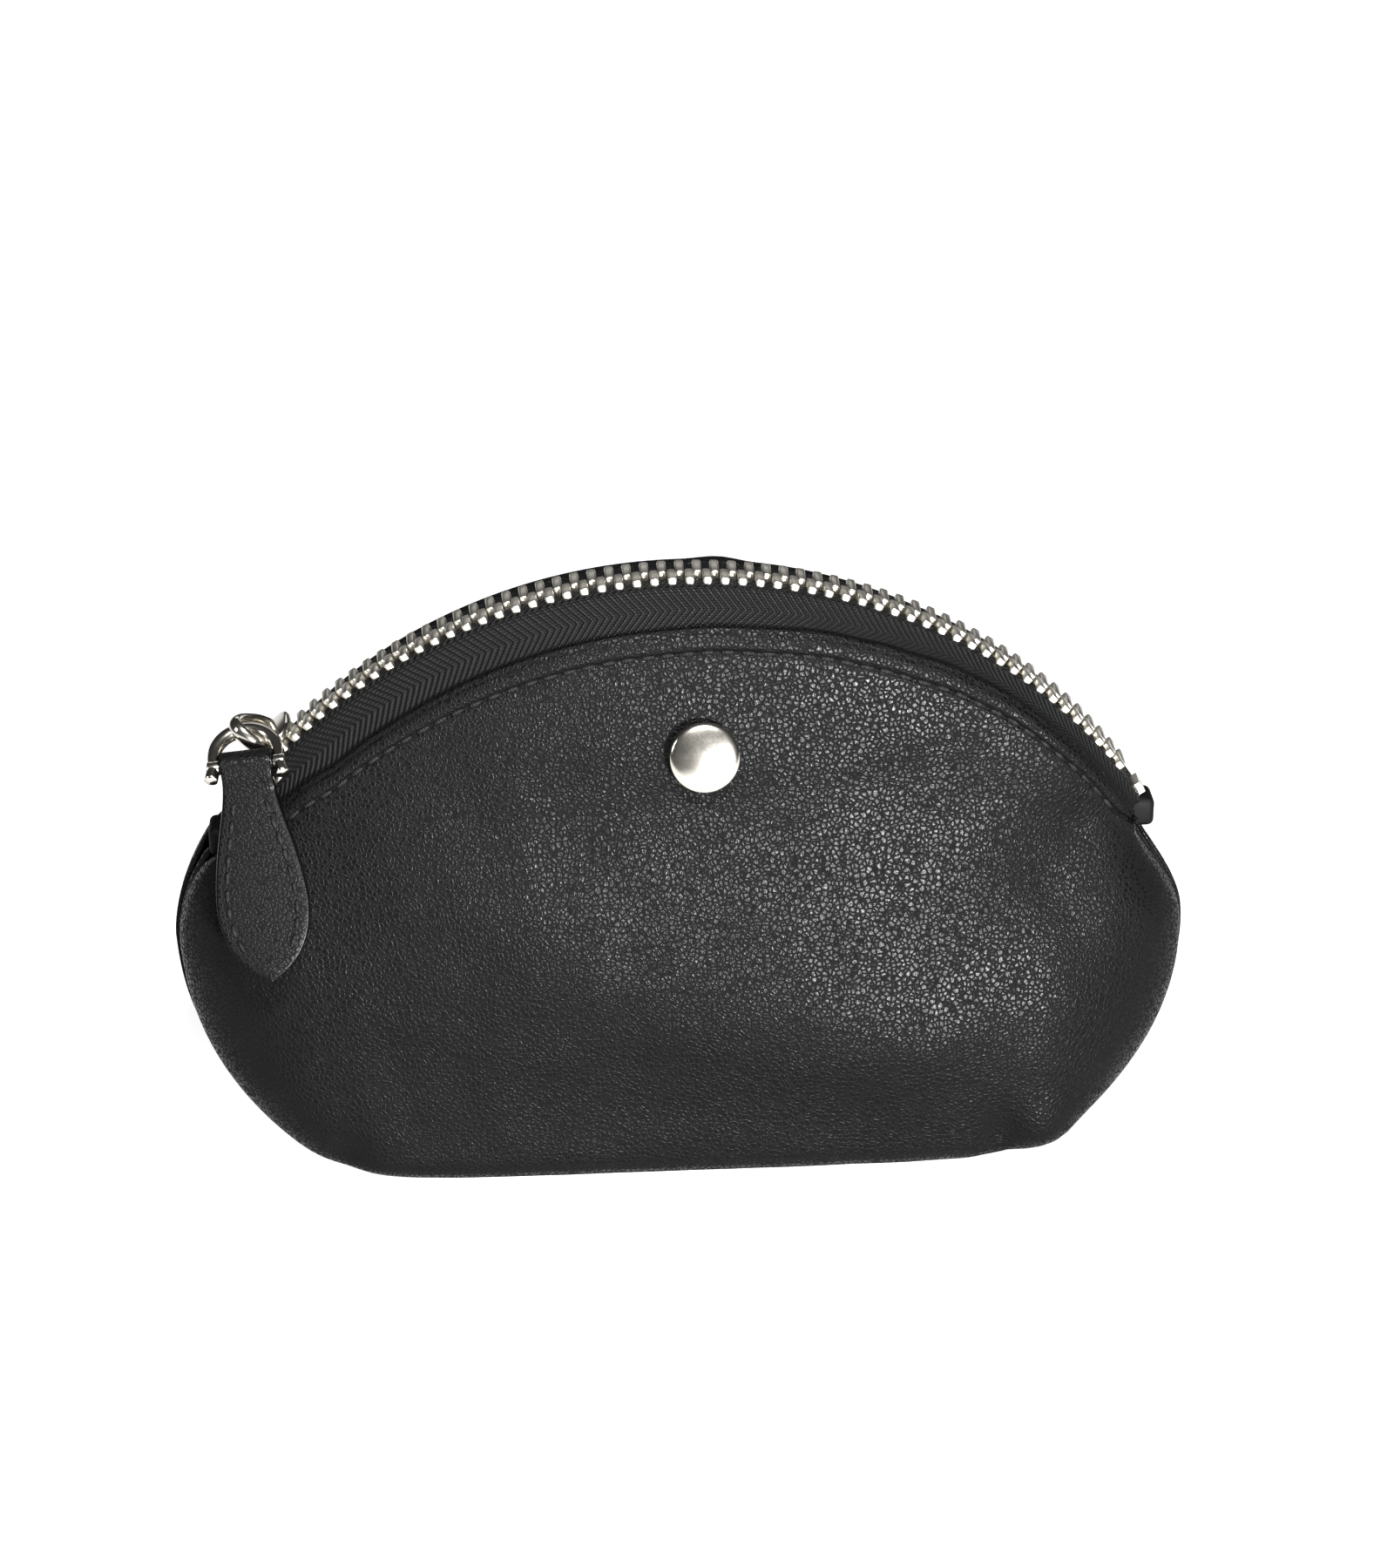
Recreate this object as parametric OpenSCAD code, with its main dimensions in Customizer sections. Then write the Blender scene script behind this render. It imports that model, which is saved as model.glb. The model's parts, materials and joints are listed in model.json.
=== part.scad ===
// Half-moon coin purse: two leather walls on a boxed base, closed by an arched metal-tooth zip.
// Units are millimetres, +Z up, the front faces -Y and the origin is the middle of the base.

/* [Body] */
// Widest part of the body, just above the base
body_w = 130; // [104:1:156]
// Height of the widest part above the table
widest_z = 30; // [25:1:36]
// Depth of the body just above the base
body_d = 37.6; // [32:0.2:46]
// Width of the flat base
base_w = 92; // [78:1:108]
// Depth of the flat base
base_d = 30.6; // [26:0.2:34]

/* [Zip arch] */
// Radius of the row of teeth
zip_r = 70; // [59:0.5:84]
// Height of the arch's centre above the table
arch_z = 7; // [6:0.5:8.4]
// Angle from the top of the arch to each end of the zip
zip_half_angle = 57; // [50:1:60]
// How far the leather's top edge lies inside the row of teeth
hem_drop = 3.6; // [3:0.1:4.4]
// How much further from the centre plane the leather's top edge stands at the top than at the zip's ends
hem_spread = 0.5; // [0.3:0.1:2]
// How far the top edge lies inside the row of teeth at the ends of the zip
hem_end_drop = 0.8; // [0.6:0.1:1.4]

/* [Leather and lining] */
// Thickness of a wall: the leather and its backing
leather_t = 1.6; // [1.3:0.1:2]
// Thickness of the lining
lining_t = 0.6; // [0.4:0.05:0.8]
// Height of the base's turned-up edge
base_rim_h = 8; // [6.5:0.1:9.6]
// Height of each wall's lower edge, inside the base
wall_foot_z = 4.4; // [4:0.1:5.2]
// Height of the turned hem along the top edge
hem_h = 2.2; // [1.8:0.1:2.7]
// Width of the seam strip that joins the walls at each side
seam_w = 1.2; // [1:0.1:1.4]

/* [Zip] */
// Distance from one tooth to the next on one side
tooth_pitch = 2.2; // [1.9:0.05:2.7]
// Thickness of a tooth through the tape
tooth_t = 2.3; // [1.9:0.05:2.6]
// Width of one side's teeth, from the tape to the zip's centre
tooth_w = 3.1; // [2.6:0.05:3.6]
// Thickness of the tape
tape_t = 0.6; // [0.5:0.05:0.72]

/* [Slider and pull] */
// Length of the slider
slider_l = 8.4; // [7:0.1:9.4]
// Width of the slider
slider_w = 9; // [8.4:0.1:10.8]
// Thickness of each slider plate
plate_t = 0.9; // [0.75:0.05:1.1]
// Angle of the closed slider from the top of the arch
slider_rest = 47.5; // [45:0.5:50]
// Thickness of the pull loop's wire
loop_wire = 1.3; // [1.1:0.05:1.4]
// Width of the pull loop
loop_w = 9.4; // [8.2:0.1:11]
// Length of the pull loop, from its bow to its pin
loop_l = 5.6; // [5:0.1:7]
// Diameter of the pin that holds the leather tab
pin_d = 1.3; // [1.1:0.05:1.6]
// Length of the leather tab below its pin
tab_l = 27.5; // [23:0.5:33]
// Greatest width of the tab
tab_w = 12; // [10:0.5:14]
// Width of the tab's neck
tab_neck = 6.4; // [5.6:0.1:6.8]
// Thickness of one layer of the tab
tab_t = 1.2; // [1:0.05:1.4]

/* [Stud] */
// Diameter of the stud's cap
stud_d = 9; // [7.5:0.1:10.8]
// Height of the stud's cap above the leather
stud_h = 2.4; // [2:0.1:2.8]
// Distance of the stud's centre below the top of the row of teeth
stud_drop = 19.4; // [19:0.2:25]
// Distance of the stud from the middle
stud_x = 1.8; // [-6:0.2:6]

/* [Stitching] */
// Distance from one stitch to the next
stitch_pitch = 2.4; // [2:0.1:2.9]
// Thickness of the thread
thread_d = 0.5; // [0.4:0.05:0.6]

/* [Fits] */
// Gap between a wall's foot and the base around it
foot_gap = 0.6; // [0.5:0.05:0.7]
// Gap between each wall's side edge and the seam's centre plane
seam_gap = 0.95; // [0.9:0.05:1.2]
// Running clearance of the pin in the tab's fold
pin_gap = 0.06; // [0.03:0.01:0.1]
// Clearance around the teeth in the slider
tooth_gap = 0.35; // [0.3:0.05:0.45]
// Play between a tooth and its neighbours on the other side
tooth_play = 0.08; // [0.05:0.01:0.15]
// Gap between the tape and each leg of a tooth
tape_gap = 0.03; // [0.02:0.01:0.05]
// Gap between the tape and the inside of the leather
tape_seat = 0.35; // [0.3:0.05:0.4]
// Gap between the loop's bow and the crown
bow_gap = 1.55; // [1.5:0.05:1.7]

/* [Hidden] */
$fn = 48;

half_w = body_w / 2;
half_d = body_d / 2;
hem_turn = 42;                               // angle where the top edge starts to near the teeth
corner_x = zip_r * sin(zip_half_angle);      // half the width where the side meets the zip
corner_z = arch_z + zip_r * cos(zip_half_angle);
base_t = leather_t - 0.4;                    // the base leather has no backing
foot_in = base_t + foot_gap;                 // how far the wall steps in behind the base's edge
step_h = 1.4;                                // height over which the wall steps in
crown_power = 1.8;                           // how late the wall leans in towards the zip
side_power = 6;                              // and how much later at the side seams
wall_cols = 36;
wall_rows = 19;
pitch_angle = tooth_pitch / zip_r * 180 / PI;
tooth_l = tooth_pitch / 2 - tooth_play;
first_tooth_a = -slider_rest - 0.6;
last_tooth_a = zip_half_angle - 2.2;
teeth_per_side = floor((last_tooth_a - first_tooth_a) / pitch_angle);
tape_edge_y = tooth_w / 2;                   // the teeth grip the tape from here outwards
tape_flat_y = slider_w / 2 + 0.4;            // the tape is flat as far as the slider's edge
tape_bend = 0.15;                            // the tape reaches the leather past its flat part
hem_end_y = tape_flat_y + tape_bend + tape_seat + leather_t;
hem_y = hem_end_y + hem_spread;
stud_z = arch_z + zip_r - stud_drop;
tape_lap = 2.2;                              // how far the tape runs down behind the leather
plate_gap = tooth_t / 2 + tooth_gap;
bow_y = 2.2 - slider_w / 2;                  // the loop's bow hangs at the front of the crown
bow_n = plate_gap + plate_t + 3.4;           // height of the bow above the row of teeth
crown_along = 0.2;                           // crown's place along the slider, towards the top
loop_slope = 24;                             // the loop's fall towards the front
pull_lean = 5.5;                             // sideways lean of the loop and tab
tab_clear = 0.35;                            // gap between the hanging tab and the leather
inner_gap = 0.42;                            // gap that clears the curve of the leather's inside
leather = [0.05, 0.05, 0.055];
cloth = [0.12, 0.12, 0.13];
thread = [0.03, 0.03, 0.03];
metal = [0.78, 0.77, 0.74];

function smooth(t) = let(c = max(0, min(1, t))) c * c * (3 - 2 * c);
function polar(r, a, y = 0) = [r * sin(a), y, arch_z + r * cos(a)];

// Half-width of the body at a height: out from the base, then in to the zip's ends.
function half_width(z) = z < widest_z
    ? base_w / 2 + (half_w - base_w / 2) * sin(90 * pow(max(z, 0) / widest_z, 0.65))
    : half_w - (half_w - corner_x) * pow(min(1, (z - widest_z) / (corner_z - widest_z)), 1.6);
// Half-depth near the base, which rolls under to the flat bottom.
function half_depth(z) = half_d - (half_d - base_d / 2) * pow(1 - min(1, z / base_rim_h), 2.2);
// Depth across the width: full in the middle, closing round each boxed end.
function section(k) = pow(max(0, 1 - pow(abs(k), 3)), 0.45);
function step_in(z) = foot_in * (1 - smooth((z - base_rim_h - 0.1) / step_h));
// The leather's top edge follows the teeth and nears them at both ends.
function hem_radius(a) = zip_r - hem_drop
    + (hem_drop - hem_end_drop) * smooth((abs(a) - hem_turn) / (zip_half_angle - hem_turn));
function hem_depth(k) = hem_y - (hem_y - hem_end_y) * smooth((abs(k) - 0.7) / 0.3);
function hem_point(k) = let(a = asin(k * sin(zip_half_angle))) polar(hem_radius(a), a, -hem_depth(k));
function hem_share(a) = sin(a) / sin(zip_half_angle);
function wall_height(k) = hem_point(k)[2] - wall_foot_z;

// A point on a wall: k runs from side to side, t from foot to top edge, off is into the purse.
function wall_point(k, t, off) = let(
    top = hem_point(k),
    z = wall_foot_z + wall_height(k) * t,
    b = pow(t, crown_power + side_power * pow(abs(k), 8)),
    s = step_in(z),
    low = seam_gap + (half_depth(z) - seam_gap - off - s) * section(k),
    x = k * half_width(z) + (top[0] - k * half_width(top[2])) * pow(t, 3)
) [x - k * (off + s) * (1 - b), top[1] * b + off * b - low * (1 - b), z];

function mesh_faces(rows, cols) = let(n = rows * cols) concat(
    [for (r = [0:rows - 2], c = [0:cols - 2], h = [0, 1]) let(a = r * cols + c)
        h == 0 ? [a, a + cols, a + 1] : [a + 1, a + cols, a + cols + 1]],
    [for (r = [0:rows - 2], c = [0:cols - 2], h = [0, 1]) let(a = n + r * cols + c)
        h == 0 ? [a, a + 1, a + cols] : [a + 1, a + cols + 1, a + cols]],
    [for (c = [0:cols - 2], h = [0, 1]) h == 0 ? [c, c + 1, n + c] : [c + 1, n + c + 1, n + c]],
    [for (c = [0:cols - 2], h = [0, 1]) let(a = (rows - 1) * cols + c)
        h == 0 ? [a, n + a, a + 1] : [a + 1, n + a, n + a + 1]],
    [for (r = [0:rows - 2], h = [0, 1]) let(a = r * cols)
        h == 0 ? [a, n + a, a + cols] : [a + cols, n + a, n + a + cols]],
    [for (r = [0:rows - 2], h = [0, 1]) let(a = r * cols + cols - 1)
        h == 0 ? [a, a + cols, n + a] : [a + cols, n + a + cols, n + a]]
);

// A sheet of the front wall between two heights and two depths.
module wall_sheet(t_low, t_high, off_out, off_in, rows = wall_rows, cols = wall_cols, reach = 1) {
    // closer rows where the foot steps in behind the base's edge
    steps = t_low > 0.2 ? [] : [for (f = [0:0.25:1]) base_rim_h + 0.1 + step_h * f];
    rest = rows - len(steps) - 1;
    function row_t(r, k) = r == 0 ? t_low
        : r <= len(steps) ? (steps[r - 1] - wall_foot_z) / wall_height(k)
        : let(from = len(steps) > 0 ? (steps[len(steps) - 1] - wall_foot_z) / wall_height(k) : t_low)
            from + (t_high - from) * (r - len(steps)) / rest;
    points = [for (off = [off_out, off_in], r = [0:rows - 1], c = [0:cols - 1])
        let(k = reach * sin(90 * (2 * c / (cols - 1) - 1))) wall_point(k, row_t(r, k), off)];
    polyhedron(points, mesh_faces(rows, cols), convexity = 6);
}

// The share of a wall's height where the hem starts, taken at the top of the arch.
hem_t = 1 - hem_h / wall_height(0);

module back() { mirror([0, 1, 0]) children(); }

// ---- base ----
// One closed ring round the body at height z, a distance in from the outside.
function ring(z, off, n = 28) = concat(
    [for (i = [0:n]) let(k = sin(90 * (2 * i / n - 1)))
        [k * (half_width(z) - off), -(seam_gap + (half_depth(z) - seam_gap - off) * section(k)), z]],
    [for (i = [0:n]) let(k = -sin(90 * (2 * i / n - 1)))
        [k * (half_width(z) - off), seam_gap + (half_depth(z) - seam_gap - off) * section(k), z]]
);

module base_panel() {
    steps = 7;
    n = len(ring(0, 0));
    outer = [for (i = [0:steps]) each ring(base_rim_h * i / steps, 0)];
    inner = [for (i = [steps:-1:0]) each ring(max(base_t, base_rim_h * i / steps), base_t)];
    rings = 2 * (steps + 1);
    color(leather) polyhedron(concat(outer, inner), concat(
        [[for (i = [0:n - 1]) i]],
        [for (r = [0:rings - 2], i = [0:n - 1], h = [0, 1])
            let(a = r * n + i, b = r * n + (i + 1) % n)
            h == 0 ? [a, a + n, b] : [b, a + n, b + n]],
        [[for (i = [n - 1:-1:0]) (rings - 1) * n + i]]
    ), convexity = 6);
}

stiffener_t = 0.9;

module base_plate(low, high, off) {
    translate([0, 0, low]) linear_extrude(high - low)
        polygon([for (p = ring(base_t, base_t + off)) [p[0], p[1]]]);
}

module base_stiffener() {
    color([0.45, 0.42, 0.38]) base_plate(base_t, base_t + stiffener_t, 1.2);
}

module base_lining() {
    color(cloth) base_plate(base_t + stiffener_t, base_t + stiffener_t + lining_t, 1.6);
}

// ---- side seams and zip ends ----
module side_seam() {
    seam_low = base_t + stiffener_t + lining_t + 0.4;
    seam_high = corner_z - 5.2;
    seam_in = base_t + 0.1;
    steps = 10;
    heights = [for (i = [0:steps]) seam_low + (seam_high - seam_low) * i / steps];
    color(leather) rotate([90, 0, 0]) linear_extrude(seam_w, center = true)
        polygon(concat(
            [for (z = heights) [half_width(z) - seam_in - 2.8, z]],
            [for (i = [steps:-1:0]) [half_width(heights[i]) - seam_in, heights[i]]]));
}

module right_side_seam() { side_seam(); }
module left_side_seam() { mirror([1, 0, 0]) side_seam(); }

// The folded end of the tape, sewn down between the walls at the corner.
module zip_end() {
    end_l = 2.8;
    end_w = hem_end_y - leather_t - 0.4;
    color(cloth) translate([0, 0, arch_z]) rotate([0, zip_half_angle + 2, 0])
        translate([-end_l / 2, -end_w / 2, zip_r - 2.6]) cube([end_l, end_w, 3]);
}

module right_zip_end() { zip_end(); }
module left_zip_end() { mirror([1, 0, 0]) zip_end(); }

module bottom_stop() {
    color(metal) translate([0, 0, arch_z]) rotate([0, zip_half_angle - 0.2, 0])
        translate([-0.8, -1.4, zip_r - 0.3]) cube([1.6, 2.8, 1.3]);
}

// ---- walls ----
module front_panel() {
    color(leather) difference() {
        wall_sheet(0, hem_t, 0, leather_t);
        stud_axis() cylinder(d = post_d + 0.1, h = 12, center = true);
    }
}

module back_panel() { color(leather) back() wall_sheet(0, hem_t, 0, leather_t); }

module hem() { color(leather) wall_sheet(hem_t + 0.002, 1, -0.25, leather_t, 4); }
module front_hem() { hem(); }
module back_hem() { back() hem(); }

module lining() {
    lining_in = leather_t + inner_gap;
    color(cloth) wall_sheet(0.03, hem_t - 0.03, lining_in, lining_in + lining_t, reach = 0.985);
}
module front_lining() {
    difference() {
        lining();
        stud_axis() cylinder(d = stud_d, h = 12, center = true);
    }
}
module back_lining() { back() lining(); }

// Stitches lie half sunk in the leather, one pitch apart along the top edge.
module topstitch() {
    stitch_t = hem_t - 0.009;
    reach = zip_half_angle - 4;
    count = floor(2 * reach * PI / 180 * hem_radius(0) / stitch_pitch);
    color(thread) for (i = [0:count - 1]) let(
        a = -reach + 2 * reach * (i + 0.5) / count,
        p = wall_point(hem_share(a), stitch_t, 0))
        translate(p) rotate([0, a, 0]) rotate([0, 90, 0])
            cylinder(d = thread_d, h = stitch_pitch * 0.68, center = true, $fn = 16);
}
module front_topstitch() { topstitch(); }
module back_topstitch() { back() topstitch(); }

// The tape runs flat through the slider, then falls to the inside of the leather's top edge.
module tape() {
    cols = 60;
    end_a = zip_half_angle - 0.8;
    function tape_ring(a) = let(
        k = hem_share(a),
        edge = wall_point(k, 1, leather_t + tape_seat),
        tail = wall_point(k, 1 - tape_lap / wall_height(k), leather_t + tape_seat)
    ) concat(
        [polar(zip_r + tape_t / 2, a, -tape_edge_y), polar(zip_r + tape_t / 2, a, -tape_flat_y),
            edge + [0, 0, tape_t], tail],
        [tail + [0, tape_t, 0], edge + [0, tape_t, -0.2],
            polar(zip_r - tape_t / 2, a, -tape_flat_y), polar(zip_r - tape_t / 2, a, -tape_edge_y)]
    );
    n = 8;
    points = [for (i = [0:cols - 1]) each tape_ring(end_a * (2 * i / (cols - 1) - 1))];
    color(cloth) polyhedron(points, concat(
        [[for (i = [0:n - 1]) i]],
        [for (c = [0:cols - 2], i = [0:n - 1], h = [0, 1])
            let(a = c * n + i, b = c * n + (i + 1) % n)
            h == 0 ? [a, a + n, b] : [b, a + n, b + n]],
        [[for (i = [n - 1:-1:0]) (cols - 1) * n + i]]
    ), convexity = 6);
}
module front_tape() { tape(); }
module back_tape() { back() tape(); }

// One tooth: a head that meets the other side, and two legs that grip the tape.
module tooth() {
    head_w = tape_edge_y + 0.35;
    leg_t = (tooth_t - tape_t) / 2 - tape_gap;
    translate([-tooth_l / 2, -tape_edge_y, -tooth_t / 2]) cube([tooth_l, head_w, tooth_t]);
    for (side = [0, 1]) translate([-tooth_l / 2, -tooth_w, side ? tape_t / 2 + tape_gap : -tooth_t / 2])
        cube([tooth_l, tooth_w - tape_edge_y + 0.01, leg_t]);
}

module teeth(shift) {
    color(metal) for (i = [0:teeth_per_side - 1]) translate([0, 0, arch_z])
        rotate([0, first_tooth_a + (i + shift) * pitch_angle, 0]) translate([0, 0, zip_r]) tooth();
}
module front_teeth() { teeth(0); }
module back_teeth() { back() teeth(0.5); }

module top_stop() {
    stop_a = slider_rest + slider_l / 2 / zip_r * 180 / PI + 0.9;
    color(metal) translate([0, 0, arch_z]) rotate([0, -stop_a, 0])
        translate([-0.6, -tooth_w, zip_r + tape_t / 2]) cube([1.2, tooth_w - tape_edge_y, 0.8]);
}
module front_top_stop() { top_stop(); }
module back_top_stop() { back() top_stop(); }

// ---- stud ----
post_d = 2.4;
stud_t = (stud_z - wall_foot_z) / wall_height(0);
stud_seat = wall_point(stud_x / corner_x, stud_t, 0);
stud_lean = atan2(
    wall_point(0, stud_t + 0.03, 0)[1] - wall_point(0, stud_t - 0.03, 0)[1], 0.06 * wall_height(0));
cap_gap = 0.05;                              // the leather curves away under the cap
washer_t = 0.6;
washer_in = leather_t + inner_gap;           // the washer sits on the leather's curved inside

module stud_axis() { translate(stud_seat) rotate([90 - stud_lean, 0, 0]) children(); }

module stud_cap() {
    color(metal) stud_axis() rotate_extrude() polygon([
        [0, cap_gap], [stud_d / 2 - 0.3, cap_gap], [stud_d / 2, cap_gap + 0.3],
        [stud_d / 2, stud_h - 0.5], [stud_d / 2 - 0.25, stud_h - 0.12],
        [stud_d / 2 - 0.6, stud_h], [0, stud_h]]);
}
module stud_post() {
    color(metal) stud_axis() translate([0, 0, -washer_in - washer_t - 0.3])
        cylinder(d = post_d, h = washer_in + washer_t + 0.3 + cap_gap);
}
module stud_washer() {
    color(metal) stud_axis() translate([0, 0, -washer_in - washer_t]) difference() {
        cylinder(d = stud_d - 1.2, h = washer_t);
        translate([0, 0, -1]) cylinder(d = post_d + 0.1, h = washer_t + 2);
    }
}

// ---- slider ----
module slider_frame() {
    translate([0, 0, arch_z]) rotate([0, -slider_rest, 0]) translate([0, 0, zip_r]) children();
}

module plate_outline() {
    tail_w = 2 * tooth_w + 0.2;
    nose_l = slider_l / 2 + crown_along + 0.75;
    offset(r = 0.5) offset(delta = -0.5) {
        translate([-slider_l / 2, -tail_w / 2]) square([slider_l, tail_w]);
        translate([-slider_l / 2, -slider_w / 2]) square([nose_l, slider_w]);
    }
}

module slider_body() {
    neck_x = -slider_l / 2 + 1.7;
    lip_t = 0.7;
    color(metal) slider_frame() {
        for (side = [1, -1]) translate([0, 0, side > 0 ? plate_gap : -plate_gap - plate_t])
            linear_extrude(plate_t) plate_outline();
        // wedge between the plates that parts the two rows of teeth
        translate([neck_x, 0, 0]) cylinder(d = 1.7, h = 2 * plate_gap + 0.02, center = true);
        // lips turned in along both edges, with a slot for the tape between them
        for (side = [0, 1], upper = [0, 1]) mirror([0, side, 0]) mirror([0, 0, upper])
            translate([-slider_l / 2, slider_w / 2 - lip_t, -plate_gap - 0.01])
            cube([slider_l * 0.3, lip_t, plate_gap + 0.01 - tape_t / 2 - (upper ? 0.85 : 0.45)]);
    }
}

// The crown is a small arch across the slider, which the pull loop hangs from.
module slider_crown() {
    leg_y = slider_w / 2 - 0.6;
    wire = 1.2;
    rise = bow_n - plate_gap - plate_t + loop_wire / 2 + bow_gap;
    color(metal) slider_frame() translate([crown_along, 0, plate_gap + plate_t]) {
        for (side = [1, -1]) translate([-wire / 2, side * leg_y - 0.55, 0]) cube([wire, 1.1, rise]);
        translate([-wire / 2, -leg_y - 0.55, rise]) cube([wire, 2 * leg_y + 1.1, wire]);
    }
}

// ---- pull ----
bow_point = polar(zip_r + bow_n, -slider_rest, bow_y)
    + crown_along * [cos(slider_rest), 0, sin(slider_rest)];
pin_point = bow_point + [
    loop_l * sin(loop_slope) * sin(pull_lean),
    -loop_l * cos(loop_slope),
    -loop_l * sin(loop_slope) * cos(pull_lean)
];

// A flat drawing of the loop: +Y is towards the pin.
module loop_frame() {
    translate(bow_point) rotate([0, -pull_lean, 0]) rotate([180 + loop_slope, 0, 0]) children();
}

module pull_loop() {
    r = (loop_w - loop_wire) / 2;
    inner = loop_w - 2 * loop_wire;
    color(metal) loop_frame() {
        linear_extrude(loop_wire, center = true) difference() {
            union() {
                translate([0, r]) circle(d = loop_w);
                translate([-loop_w / 2, r]) square([loop_w, loop_l - r]);
            }
            translate([0, r]) circle(d = inner);
            translate([-inner / 2, r]) square([inner, loop_l]);
        }
        for (side = [1, -1]) translate([side * r, loop_l, 0]) rotate([0, 90, 0])
            cylinder(d = loop_wire + 0.7, h = loop_wire, center = true);
    }
}

module pin_frame() { translate(pin_point) rotate([0, -pull_lean, 0]) children(); }

module pull_pin() {
    inner = loop_w - 2 * loop_wire;
    color(metal) pin_frame() rotate([0, 90, 0]) cylinder(d = pin_d, h = inner, center = true, $fn = 32);
}

fold_r = pin_d / 2 + pin_gap;

// The tab's outline: a neck, a leaf that widens below it, and a pointed tip.
function tab_half(s) = s < 0.18
    ? tab_neck / 2
    : tab_neck / 2 + (tab_w - tab_neck) / 2 * smooth((s - 0.18) / 0.42)
        - (s > 0.6 ? tab_w / 2 * pow((s - 0.6) / 0.4, 2.1) : 0);

module tab_outline() {
    steps = 26;
    polygon(concat(
        [for (i = [0:steps]) [tab_half(i / steps), -tab_l * i / steps]],
        [for (i = [steps - 1:-1:0]) [-tab_half(i / steps), -tab_l * i / steps]]));
}

// The leather's front face beside the tab, and the least tilt that keeps the hanging tab off it.
function face_y(x, z) = let(k = min(0.98, max(-0.98, x / half_width(z))))
    wall_point(k, min(1, max(0, (z - wall_foot_z) / wall_height(k))), 0)[1];
function tilt_at(s) = asin(min(1, (pin_point[1] + tab_t + tab_clear
    - face_y(pin_point[0] + tab_l * s * sin(pull_lean) + tab_half(s), pin_point[2] - tab_l * s)) / (tab_l * s)));
tab_tilt = max([for (s = [0.3:0.1:1]) tilt_at(s)]);

module tab_frame() { pin_frame() rotate([-tab_tilt, 0, 0]) children(); }

module tab_strap() {
    color(leather) tab_frame() difference() {
        union() {
            // one strip folded over the pin, its two layers sewn together below
            rotate([0, 90, 0]) cylinder(r = fold_r + tab_t, h = tab_neck, center = true);
            rotate([90, 0, 0]) linear_extrude(2 * tab_t, center = true) tab_outline();
        }
        rotate([0, 90, 0]) cylinder(r = fold_r, h = tab_neck + 1, center = true);
    }
}

module tab_stitching() {
    inset = 1.5;
    count = floor(0.72 * tab_l / 1.9);
    color(thread) tab_frame() for (side = [1, -1], face = [1, -1], i = [0:count - 1]) let(
        s = 0.2 + 0.7 * (i + 0.5) / count,
        ds = 0.01,
        a = atan2(tab_half(s + ds) - tab_half(s - ds), 2 * ds * tab_l))
        translate([side * (tab_half(s) - inset), face * tab_t, -tab_l * s])
            rotate([0, -side * a, 0]) cylinder(d = thread_d, h = 1.3, center = true, $fn = 16);
}

base_panel();
base_stiffener();
base_lining();
left_side_seam();
right_side_seam();
left_zip_end();
right_zip_end();
bottom_stop();
front_panel();
front_hem();
front_topstitch();
front_lining();
front_tape();
front_teeth();
front_top_stop();
stud_cap();
stud_post();
stud_washer();
back_panel();
back_hem();
back_topstitch();
back_lining();
back_tape();
back_teeth();
back_top_stop();
slider_body();
slider_crown();
pull_loop();
pull_pin();
tab_strap();
tab_stitching();
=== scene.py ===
# Half-moon leather coin purse: a detailed skin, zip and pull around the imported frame.
import json
import math
import random

import bmesh
import bpy
from mathutils import Matrix, Vector, noise


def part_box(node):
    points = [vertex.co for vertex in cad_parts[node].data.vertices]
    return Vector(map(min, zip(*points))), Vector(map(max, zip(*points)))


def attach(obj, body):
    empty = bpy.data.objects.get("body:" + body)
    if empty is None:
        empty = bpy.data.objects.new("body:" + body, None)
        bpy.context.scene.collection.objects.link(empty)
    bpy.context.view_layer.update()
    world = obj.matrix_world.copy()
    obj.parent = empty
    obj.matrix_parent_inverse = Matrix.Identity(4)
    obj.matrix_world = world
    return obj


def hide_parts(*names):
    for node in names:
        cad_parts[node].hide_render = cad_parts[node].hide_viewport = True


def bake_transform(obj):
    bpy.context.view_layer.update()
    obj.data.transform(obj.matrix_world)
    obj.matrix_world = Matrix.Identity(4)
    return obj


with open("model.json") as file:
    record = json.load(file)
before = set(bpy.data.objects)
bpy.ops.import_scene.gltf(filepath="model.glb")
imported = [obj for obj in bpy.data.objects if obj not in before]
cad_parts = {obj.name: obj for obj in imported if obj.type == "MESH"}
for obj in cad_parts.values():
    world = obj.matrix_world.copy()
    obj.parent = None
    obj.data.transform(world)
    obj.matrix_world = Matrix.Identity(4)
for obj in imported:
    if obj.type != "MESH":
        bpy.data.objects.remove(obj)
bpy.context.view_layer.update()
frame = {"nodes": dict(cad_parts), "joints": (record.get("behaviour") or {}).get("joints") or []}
print("frame loaded:", len(frame["nodes"]), "nodes")

mm = 0.001
joints = {joint["name"]: joint for joint in frame["joints"]}
random.seed(7)


def inMm(values):
    return Vector(values) / mm


# ---- places taken from the frame, in millimetres ----
teethLow, teethHigh = (inMm(corner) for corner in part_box("front_teeth"))
panelLow, panelHigh = (inMm(corner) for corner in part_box("front_panel"))
baseLow, baseHigh = (inMm(corner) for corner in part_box("base_panel"))
capLow, capHigh = (inMm(corner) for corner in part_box("stud_cap"))
zipCentre = inMm(joints["slider_travel"]["pos_m"])
bowPoint = inMm(joints["pull_swing"]["pos_m"])
pinPoint = inMm(joints["tab_swing"]["pos_m"])
pinAxis = -Vector(joints["tab_swing"]["axis"]).normalized()

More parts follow.
